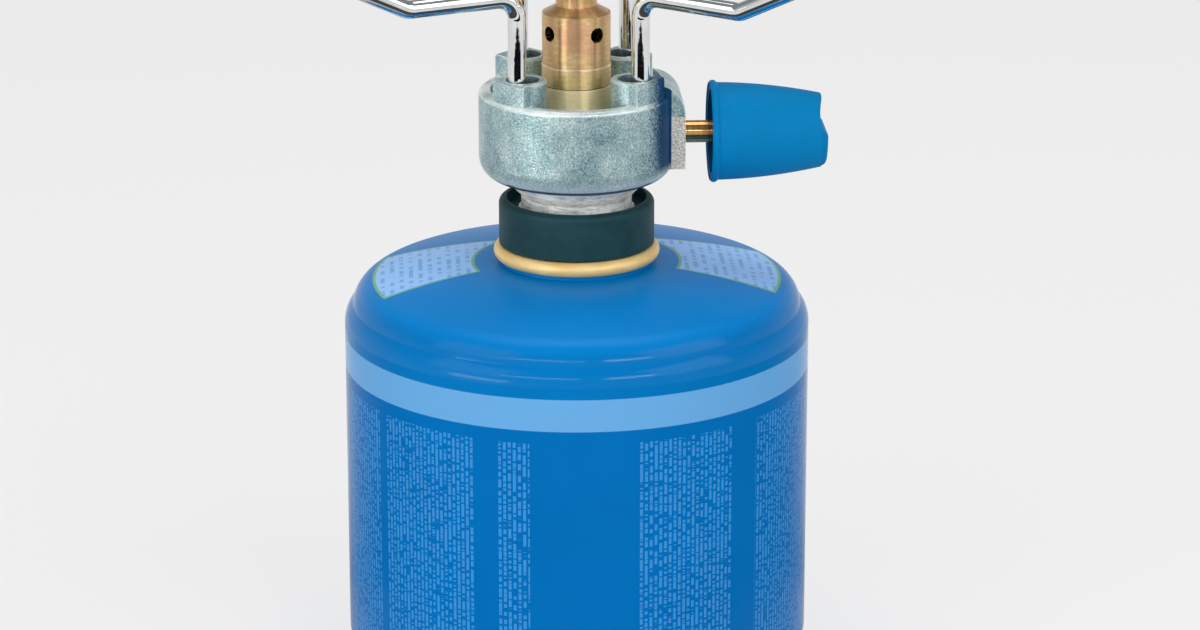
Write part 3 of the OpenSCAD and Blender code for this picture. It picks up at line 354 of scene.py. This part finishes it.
# drum: zinc alloy, die cast, tumbled and passivated, which leaves a bluish frosted grain and bright edges
zincCast = {  # mm; foot heights are over the drum's lowest point, the rim is bossH under its highest
    "tones": [(0.33, "#506E79"), (0.43, "#84A1A7"), (0.53, "#A4BDBE"), (0.64, "#D5E4E1")],
    "grain": 0.42, "cloud": 6.0, "grainShare": 0.65, "bumpDepth": 0.1, "bumpStrength": 0.7,
    "gloss": (0.34, 0.22), "metal": (0.55, 0.15),  # plain casting, and where it is worn or painted with light and shade
    # the bright tone serves worn edges and the painted rim highlight
    "wornAndHighlightTone": "#E2EAEA", "bossH": 5.1, "rimR": 19.6, "rimFrom": 1.25, "rimFull": 0.7, "rimOver": 0.05,
    "rimCloud": (0.35, 0.6), "rimWearAndHighlight": (0.4, 0.95),
    "wearR": 0.6, "wearFacing": (0.995, 0.88), "wearAmount": 0.9,
    "lugFrom": 17.0, "lugHalf": 8.4, "sawnFrom": 20.4, "sawnDrop": 5.0, "sawnAmount": 0.85,
    "sawn": [(0.36, "#A6A29A"), (0.5, "#DAD6CC"), (0.64, "#F6F3EC")],
    # foot: painted light, paler and warmer
    "footPaintTone": "#CDCEBE", "footPaintRise": (4.5, 1.5), "footPaintAmount": 0.55,
    # painted shade by the lug and painted reflection along the lower edge
    "shadeBlue": "#003C62", "shadeTurn": (21.0, 43.0), "shadeRagged": 24.0, "shadeFade": (16.0, 4.0),
    "shadeAbove": (2.5, 5.0), "reflectionFoot": (1.6, 1.2), "reflectionFootAmount": 0.95,
    # pocket: painted shade round the legs
    "pocket": "#2E3B3C", "pocketR": 4.15, "pocketIn": 1.7, "pocketDeep": (0.3, 2.6), "pocketAmount": 0.9,
}


def passivatedZinc(p):
    low, high = (corner.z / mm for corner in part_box("drum_body"))
    rimTop = high - p["bossH"]
    material, tree = newTree("passivatedZinc")
    spot = spotInMm(tree)
    xyz = addNode(tree, "SeparateXYZ", {0: spot}).node.outputs
    grain = addNode(tree, "TexNoise", {"Vector": spot, "Scale": 1 / p["grain"], "Detail": 3.0,
                                       "Roughness": 0.65})
    cloud = addNode(tree, "TexNoise", {"Vector": spot, "Scale": 1 / p["cloud"], "Detail": 3.0})
    clouded = addNode(tree, "Math", {0: cloud, 1: 1 - p["grainShare"]}, operation="MULTIPLY")
    both = addNode(tree, "Math", {0: grain, 1: p["grainShare"], 2: clouded}, operation="MULTIPLY_ADD")
    colour = addNode(tree, "ValToRGB", {0: both}, stops=p["tones"])
    # painted highlight on the rim's rounded edge, with some wear, stronger in places and weaker in others
    radius = awayFromAxis(tree, spot)
    onRim = addNode(tree, "Math", {0: radius, 1: p["rimR"]}, operation="GREATER_THAN")
    uneven = addNode(tree, "MapRange", {0: cloud, 1: p["rimCloud"][0], 2: p["rimCloud"][1],
                                        3: p["rimWearAndHighlight"][0], 4: p["rimWearAndHighlight"][1]})
    edge = addNode(tree, "MapRange", {0: xyz["Z"], 1: rimTop - p["rimFrom"], 2: rimTop - p["rimFull"],
                                      4: uneven})
    nearY = addNode(tree, "Math", {0: xyz["Y"], 1: 0.0, 2: p["lugHalf"]}, operation="COMPARE")
    lugX = addNode(tree, "Math", {0: xyz["X"], 1: p["lugFrom"]}, operation="GREATER_THAN")
    offLug = addNode(tree, "Math", {0: 1.0, 1: allOf(tree, nearY, lugX)}, operation="SUBTRACT")
    under = addNode(tree, "Math", {0: xyz["Z"], 1: rimTop + p["rimOver"]}, operation="LESS_THAN")
    rimHighlight = allOf(tree, edge, onRim, offLug, under)
    # sharp edges worn bright: where a rounded normal leaves the true one
    rounded = addNode(tree, "Bevel", {"Radius": p["wearR"] * mm}, samples=6)
    true = addNode(tree, "NewGeometry", out="Normal")
    facing = addNode(tree, "VectorMath", {0: rounded, 1: true}, out="Value", operation="DOT_PRODUCT")
    worn = addNode(tree, "MapRange", {0: facing, 1: p["wearFacing"][0], 2: p["wearFacing"][1],
                                      4: p["wearAmount"]})
    # edge wear and the painted rim highlight together
    wornAndHighlit = addNode(tree, "Math", {0: rimHighlight, 1: worn}, operation="MAXIMUM")
    colour = addNode(tree, "Mix", {0: wornAndHighlit, 6: colour, 7: linear(p["wornAndHighlightTone"])}, 2, data_type="RGBA")
    # machined end of the valve lug, paler and without the blue
    outX = addNode(tree, "Math", {0: xyz["X"], 1: p["sawnFrom"]}, operation="GREATER_THAN")
    lowZ = addNode(tree, "Math", {0: xyz["Z"], 1: rimTop - p["sawnDrop"]}, operation="LESS_THAN")
    sawn = allOf(tree, outX, nearY, lowZ, p["sawnAmount"])
    bare = addNode(tree, "ValToRGB", {0: grain}, stops=p["sawn"])
    colour = addNode(tree, "Mix", {0: sawn, 6: colour, 7: bare}, 2, data_type="RGBA")
    # painted light: lower edge painted paler and warmer, cancelling the blue light that the can bounces onto
    # it
    footBand = addNode(tree, "MapRange", {0: xyz["Z"], 1: low + p["footPaintRise"][0], 2: low + p["footPaintRise"][1]})
    footPainted = allOf(tree, footBand, p["footPaintAmount"])
    colour = addNode(tree, "Mix", {0: footPainted, 6: colour, 7: linear(p["footPaintTone"])}, 2, data_type="RGBA")
    # painted shade in deep blue in the corner by the lug, and a painted reflection of the blue can along the
    # lower edge
    toFront = addNode(tree, "Math", {0: xyz["Y"], 1: -1.0}, operation="MULTIPLY")
    turn = addNode(tree, "Math", {0: toFront, 1: xyz["X"]}, operation="ARCTAN2")
    turn = addNode(tree, "Math", {0: turn}, operation="DEGREES")
    ragged = addNode(tree, "Math", {0: grain, 1: p["shadeRagged"], 2: turn}, operation="MULTIPLY_ADD")
    fromTurn, toTurn = p["shadeTurn"]
    fade = addNode(tree, "MapRange", {0: ragged, 1: toTurn + p["shadeFade"][0], 2: toTurn + p["shadeFade"][1]})
    begins = addNode(tree, "Math", {0: turn, 1: fromTurn}, operation="GREATER_THAN")
    above = addNode(tree, "MapRange", {0: xyz["Z"], 1: low + p["shadeAbove"][0], 2: low + p["shadeAbove"][1]})
    corner = allOf(tree, fade, begins, onRim, above)
    foot = addNode(tree, "MapRange", {0: xyz["Z"], 1: low + p["reflectionFoot"][0], 2: low + p["reflectionFoot"][1],
                                      4: p["reflectionFootAmount"]})
    shadeAndReflection = addNode(tree, "Math", {0: corner, 1: foot}, operation="MAXIMUM")
    colour = addNode(tree, "Mix", {0: shadeAndReflection, 6: colour, 7: linear(p["shadeBlue"])}, 2, data_type="RGBA")
    # painted shade in the pockets round the legs
    inPockets = 0.0
    for turns in wire["arms"].values():
        middle = fromAxis(turns[0], wire["ring"] - p["pocketIn"])
        away = awayFromAxis(tree, spot, middle)
        near = addNode(tree, "Math", {0: away, 1: p["pocketR"]}, operation="LESS_THAN")
        inPockets = addNode(tree, "Math", {0: near, 1: inPockets}, operation="MAXIMUM")
    deep = addNode(tree, "MapRange", {0: xyz["Z"], 1: high - p["pocketDeep"][0], 2: high - p["pocketDeep"][1],
                                      4: p["pocketAmount"]})
    pocketShade = allOf(tree, inPockets, deep)
    colour = addNode(tree, "Mix", {0: pocketShade, 6: colour, 7: linear(p["pocket"])}, 2, data_type="RGBA")
    gloss = addNode(tree, "MapRange", {0: wornAndHighlit, 3: p["gloss"][0], 4: p["gloss"][1]})
    bump = addNode(tree, "Bump", {"Height": grain, "Strength": p["bumpStrength"],
                                  "Distance": p["bumpDepth"] * mm})
    # less metal where worn or painted with light and shade
    paintedOrWorn = addNode(tree, "Math", {0: wornAndHighlit, 1: shadeAndReflection}, operation="MAXIMUM")
    paintedOrWorn = addNode(tree, "Math", {0: paintedOrWorn, 1: footBand}, operation="MAXIMUM")
    metal = addNode(tree, "MapRange", {0: paintedOrWorn, 3: p["metal"][0], 4: p["metal"][1]})
    closeTree(tree, {"Base Color": colour, "Metallic": metal, "Roughness": gloss, "Normal": bump,
                     "Specular IOR Level": 0.2})
    return material


# pan supports: bright chrome plate over drawn wire, mirror-like with a faint haze and ripple; mm
chromed = {"tones": [(0.3, "#D2D5D6"), (0.7, "#E6E7E6")], "gloss": (0.02, 0.045), "hazeMm": 6.0,
           "rippleMm": 2.5, "rippleDepth": 0.05, "rippleStrength": 0.12}


def chromePlate(p):
    material, tree = newTree("chromePlate")
    spot = spotInMm(tree)
    haze = addNode(tree, "TexNoise", {"Vector": spot, "Scale": 1 / p["hazeMm"], "Detail": 3.0})
    colour = addNode(tree, "ValToRGB", {0: haze}, stops=p["tones"])
    gloss = addNode(tree, "MapRange", {0: haze, 1: noiseLow, 2: noiseHigh, 3: p["gloss"][0],
                                       4: p["gloss"][1]})
    ripple = addNode(tree, "TexNoise", {"Vector": spot, "Scale": 1 / p["rippleMm"], "Detail": 1.0})
    bump = addNode(tree, "Bump", {"Height": ripple, "Strength": p["rippleStrength"],
                                  "Distance": p["rippleDepth"] * mm})
    closeTree(tree, {"Base Color": colour, "Metallic": 1.0, "Roughness": gloss, "Normal": bump})
    return material


materials = {"printedLacquer": printedLacquer(canPrint), "passivatedZinc": passivatedZinc(zincCast),
             "chromePlate": chromePlate(chromed)}
for make, kinds in ((pressedMetal, pressedMetals), (mouldedSkin, mouldedSkins), (turnedMetal, turnedMetals)):
    for name, settings in kinds.items():
        materials[name] = make(name, **settings)

# nodes that take each finish
finishes = {
    "printedLacquer": ["can_shell"],
    "tinplate": ["can_base"],
    "goldLacquer": ["valve_cup"],
    "drawnSpringSteel": ["valve_spring", "knob_clip", "leg_washers", "leg_clips"],
    "pressedStainless": ["burner_gauze", "burner_cap"],
    "nitrileRubber": ["cup_gasket", "stem_gasket", "connector_o_ring", "spindle_o_ring"],
    "naturalAcetal": ["valve_housing", "valve_stem", "valve_needle"],
    "packingPtfe": ["spindle_packing"],
    "glassFilledNylon": ["connector_collar"],
    "mouldedPolypropylene": ["control_knob"],
    "turnedAluminium": ["connector_neck"],
    "turnedBrass": ["inlet_probe", "inlet_filter", "valve_seat", "gland_nut", "gas_jet", "burner_base"],
    "heatTintedBrass": ["burner_tube", "burner_head"],
    "spindleBrass": ["valve_spindle"],
    "passivatedZinc": ["drum_body"],
    "chromePlate": ["pan_support_" + arm for arm in wire["arms"]],
}
for finish, names in finishes.items():
    for name in names:
        for slot in nodes[name].material_slots:
            slot.material = materials[finish]
print("finishes:", sum(len(names) for names in finishes.values()), "nodes,", len(finishes), "materials")


def addMesh(name, verts, faces, material, smooth=False):
    mesh = bpy.data.meshes.new(name)
    mesh.from_pydata(verts, [], faces)
    if smooth:
        mesh.shade_smooth()
    mesh.materials.append(material)
    piece = bpy.data.objects.new(name, mesh)
    bpy.context.scene.collection.objects.link(piece)
    return piece


def tubeFaces(rings, sides):  # skin over rings of points, closed at both ends
    faces = []
    for i in range(rings - 1):
        for j in range(sides):
            k = (j + 1) % sides
            faces.append((i * sides + j, (i + 1) * sides + j, (i + 1) * sides + k, i * sides + k))
    faces.append(tuple(range(sides)))
    faces.append(tuple(reversed(range((rings - 1) * sides, rings * sides))))
    return faces


# pan supports: swept wire with a round tip, in place of the faceted solids
def bentPath(p):  # points along one support, as distance out from its leg and height, in mm
    slope, bend, lap = math.radians(p["slope"]), p["bend"], p["lap"]
    lead = bend * math.tan(slope / 2)
    points = [(0.0, p["footZ"]), (0.0, p["footZ"] + lap), (0.0, p["armZ"] - bend - lap)]
    for i in range(p["bendSteps"] + 1):  # leg into the level run
        a = math.pi / 2 * i / p["bendSteps"]
        points.append((bend * (1 - math.cos(a)), p["armZ"] - bend + bend * math.sin(a)))
    points += [(bend + lap, p["armZ"]), (p["run"] - lead - lap, p["armZ"])]
    for i in range(p["bendSteps"] + 1):  # level run into the rising run
        a = slope * i / p["bendSteps"]
        points.append((p["run"] - lead + bend * math.sin(a), p["armZ"] + bend * (1 - math.cos(a))))
    topX, topZ = p["run"] + p["slopeRun"], p["armZ"] + p["slopeRun"] * math.tan(slope)
    rise = Vector((math.cos(slope), math.sin(slope)))
    first, last = Vector((p["run"], p["armZ"])), Vector((topX, topZ))
    points += [tuple(first + rise * (lead + lap)), tuple(last - rise * (lead + lap))]
    for i in range(p["bendSteps"] + 1):  # rising run into the level tip
        a = slope * (1 - i / p["bendSteps"])
        points.append((topX + lead - bend * math.sin(a), topZ - bend * (1 - math.cos(a))))
    points += [(topX + lead + lap, topZ), (topX + lead + p["tip"], topZ)]
    return points


def sweepWire(name, legTurn, armTurn, p):
    out = fromAxis(armTurn)
    side = Vector((-out.y, out.x, 0))
    leg = fromAxis(legTurn, p["ring"])
    line = [leg + out * d + Vector((0, 0, z)) for d, z in bentPath(p)]
    rings = []
    for i, point in enumerate(line):
        along = (line[min(i + 1, len(line) - 1)] - line[max(i - 1, 0)]).normalized()
        rings.append((point, along, p["radius"]))
    for i in range(1, p["endSteps"] + 1):  # round end
        a = math.pi / 2 * i / p["endSteps"]
        reach, radius = p["radius"] * math.sin(a), p["radius"] * max(math.cos(a), p["endTip"])
        rings.append((line[-1] + out * reach, out, radius))
    verts = []
    for point, along, radius in rings:
        up = side.cross(along)
        for j in range(p["sides"]):
            a = 2 * math.pi * j / p["sides"]
            verts.append((point + side * radius * math.cos(a) + up * radius * math.sin(a)) * mm)
    faces = tubeFaces(len(rings), p["sides"])
    return addMesh(name, verts, faces, materials["chromePlate"], smooth=True)


for arm, (legTurn, armTurn) in wire["arms"].items():
    piece = sweepWire("support_wire_" + arm, legTurn, armTurn, wire)
    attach(piece, "arm_" + arm)
    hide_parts("pan_support_" + arm)
print("pan supports:", len(wire["arms"]), "swept wires")

# valve spring: a fixed round coil in place of the spring's solid, though the real one closes up as the stem
# goes in; wire in mm
coil = {"wire": 0.7, "turns": 5, "steps": 24, "sides": 12}


def coilSpring(name, low, high, p):  # between the corners of the spring's box, in mm
    thick, lastRing = p["wire"] / 2, p["turns"] * p["steps"]
    verts = []
    for i in range(lastRing + 1):
        a = 2 * math.pi * i / p["steps"]
        z = low.z + thick + (high.z - low.z - p["wire"]) * i / lastRing
        for j in range(p["sides"]):
            b = 2 * math.pi * j / p["sides"]
            r = high.x - thick + thick * math.cos(b)
            verts.append((r * math.cos(a) * mm, r * math.sin(a) * mm, (z + thick * math.sin(b)) * mm))
    faces = tubeFaces(lastRing + 1, p["sides"])
    return addMesh(name, verts, faces, materials["drawnSpringSteel"], smooth=True)


low, high = (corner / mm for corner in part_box("valve_spring"))
coilPiece = coilSpring("coil_spring", low, high, coil)
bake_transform(coilPiece)
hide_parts("valve_spring")
print("valve spring:", coil["turns"], "turns")

# studio: pale floor and surround, large soft lamps, dark cards for the metal to reflect; metres and watts
studio = {
    "pale": "#EDEDED", "ceiling": "#8E9092", "ceilingRise": (0.1, 0.45), "ambient": "#FFFFFF",
    "worldLevel": 0.3, "floorSize": 6.0, "floorShadow": 0.25, "floorGlow": 1.085, "cardZ": 0.001,
    "lamps": [  # place, aim, width, height, watts
        ("lampFront", (0.45, -1.0, 0.6), (0, 0, 0.1), 0.47, 0.12, 2.8),
        ("lampStrip", (-0.38, -1.0, 0.6), (0, 0, 0.1), 0.8, 0.05, 1.9),
        ("lampTop", (0.0, 0.25, 1.3), (0, 0, 0.1), 0.9, 0.7, 4.6),
        ("lampLeft", (-0.95, -0.55, 0.8), (0, 0, 0.1), 0.9, 0.8, 3.5),
        ("lampRight", (0.95, -0.55, 0.8), (0, 0, 0.1), 0.9, 0.8, 5.0),
        ("lampLow", (-0.9, -0.75, 0.12), (0, 0, 0.12), 0.6, 0.2, 3.2),
    ],
    # two dark cards on the floor, seen only in reflections: a ring round the can, a fan further to the front
    "ring": {"near": 0.055, "far": 0.33, "point": 0.33, "half": 180, "steps": 32, "tone": "#4A4A48",
             "fade": (0.1, 0.85), "foot": (0.056, 0.115)},
    "fan": {"near": 0.48, "far": 0.6, "point": 0.655, "half": 42, "steps": 12, "tone": "#101010"},
}


def raysThatSee(tree):  # camera rays and those of shiny or clear surfaces
    path = addNode(tree, "LightPath").node.outputs
    seen = addNode(tree, "Math", {0: path["Is Camera Ray"], 1: path["Is Glossy Ray"]}, operation="MAXIMUM")
    return addNode(tree, "Math", {0: seen, 1: path["Is Transmission Ray"]}, operation="MAXIMUM")


# surround: pale to the camera, with a darker ceiling in reflections and an even fill for matt surfaces
world = bpy.data.worlds.new("paleStudio")
bpy.context.scene.world = world
world.use_nodes = True
sky = world.node_tree
sky.nodes.clear()
heading = addNode(sky, "TexCoord", out="Generated")
rise = addNode(sky, "SeparateXYZ", {0: heading}, out="Z")
overhead = addNode(sky, "MapRange", {0: rise, 1: studio["ceilingRise"][0], 2: studio["ceilingRise"][1]})
cameraRay = addNode(sky, "LightPath", out="Is Camera Ray")
otherRay = addNode(sky, "Math", {0: 1.0, 1: cameraRay}, operation="SUBTRACT")
overhead = allOf(sky, overhead, otherRay)
tone = addNode(sky, "Mix", {0: overhead, 6: linear(studio["pale"]), 7: linear(studio["ceiling"])}, 2,
               data_type="RGBA")
glow = addNode(sky, "Background", {"Color": tone, "Strength": 1.0})
ambient = addNode(sky, "Background", {"Color": linear(studio["ambient"]), "Strength": studio["worldLevel"]})
mixed = addNode(sky, "MixShader", {0: raysThatSee(sky), 1: ambient, 2: glow})
addNode(sky, "OutputWorld", {"Surface": mixed})

# floor: mostly an even glow where it is seen, so that only a trace of shadow shows
floorPaint, floorTree = newTree("paleFloor")
glow = addNode(floorTree, "Emission", {"Color": linear(studio["pale"]), "Strength": studio["floorGlow"]})
matt = addNode(floorTree, "BsdfDiffuse", {"Color": linear(studio["pale"])})
share = allOf(floorTree, raysThatSee(floorTree), 1 - studio["floorShadow"])
mixed = addNode(floorTree, "MixShader", {0: share, 1: matt, 2: glow})
addNode(floorTree, "OutputMaterial", {"Surface": mixed})
half = studio["floorSize"] / 2
floorCorners = [(-half, -half, 0), (half, -half, 0), (half, half, 0), (-half, half, 0)]
floor = addMesh("floor", floorCorners, [(0, 1, 2, 3)], floorPaint)

for cardName in ("ring", "fan"):  # each a strip of flat faces, turned about the can's axis
    shape = studio[cardName]
    corners, strips = [], []
    for i in range(-shape["steps"], shape["steps"] + 1):
        share = i / shape["steps"]
        a = math.radians(shape["half"] * share)
        for r in (shape["near"], shape["far"] + (shape["point"] - shape["far"]) * (1 - abs(share))):
            corners.append((r * math.sin(a), -r * math.cos(a), studio["cardZ"]))
    for i in range(0, len(corners) - 2, 2):
        strips.append((i, i + 1, i + 3, i + 2))
    cardPaint, cardTree = newTree(cardName + "Card")
    tone = linear(shape["tone"])
    if "fade" in shape:  # from dark at the front to the floor's tone at the back and beside the can
        place = addNode(cardTree, "TexCoord", out="Object")
        around = addNode(cardTree, "VectorMath", {0: place}, operation="NORMALIZE")
        back = addNode(cardTree, "SeparateXYZ", {0: around}, out="Y")
        behind = addNode(cardTree, "MapRange", {0: back, 1: shape["fade"][0], 2: shape["fade"][1]})
        reach = addNode(cardTree, "VectorMath", {0: place}, out="Value", operation="LENGTH")
        beside = addNode(cardTree, "MapRange", {0: reach, 1: shape["foot"][1], 2: shape["foot"][0]})
        pale = addNode(cardTree, "Math", {0: behind, 1: beside}, operation="MAXIMUM")
        tone = addNode(cardTree, "Mix", {0: pale, 6: tone, 7: linear(studio["pale"])}, 2, data_type="RGBA")
    matt = addNode(cardTree, "BsdfDiffuse", {"Color": tone})
    addNode(cardTree, "OutputMaterial", {"Surface": matt})
    card = addMesh(cardName + "Card", corners, strips, cardPaint)
    card.visible_camera = card.visible_diffuse = card.visible_shadow = card.visible_transmission = False

for name, place, aim, width, height, watts in studio["lamps"]:
    lamp = bpy.data.lights.new(name, "AREA")
    lamp.shape, lamp.size, lamp.size_y, lamp.energy = "RECTANGLE", width, height, watts
    holder = bpy.data.objects.new(name, lamp)
    holder.location = place
    holder.rotation_euler = (Vector(aim) - Vector(place)).to_track_quat("-Z", "Y").to_euler()
    bpy.context.scene.collection.objects.link(holder)
print("studio:", len(studio["lamps"]), "lamps")

# camera: a long lens from a little above, with the can left of the picture's middle; metres and degrees
cameraSet = {"distance": 1.0, "elevation": 17.5, "azimuth": -3.0, "targetZ": 0.08183, "aside": 0.00542,
             "sensorMm": 36.0, "focalPixels": 4286, "widthPixels": 1200, "clipStart": 0.01}
up, turn = math.radians(cameraSet["elevation"]), math.radians(cameraSet["azimuth"])
toward = Vector((-math.sin(turn) * math.cos(up), math.cos(turn) * math.cos(up), -math.sin(up)))
aside = fromAxis(cameraSet["azimuth"], cameraSet["aside"])
target = Vector((0, 0, cameraSet["targetZ"])) + aside
lens = bpy.data.cameras.new("camera")
lens.sensor_width, lens.clip_start = cameraSet["sensorMm"], cameraSet["clipStart"]
lens.lens = cameraSet["sensorMm"] * cameraSet["focalPixels"] / cameraSet["widthPixels"]
camera = bpy.data.objects.new("camera", lens)
camera.location = target - toward * cameraSet["distance"]
camera.rotation_euler = toward.to_track_quat("-Z", "Y").to_euler()
bpy.context.scene.collection.objects.link(camera)
bpy.context.scene.camera = camera
bpy.context.scene.view_settings.view_transform = "Standard"
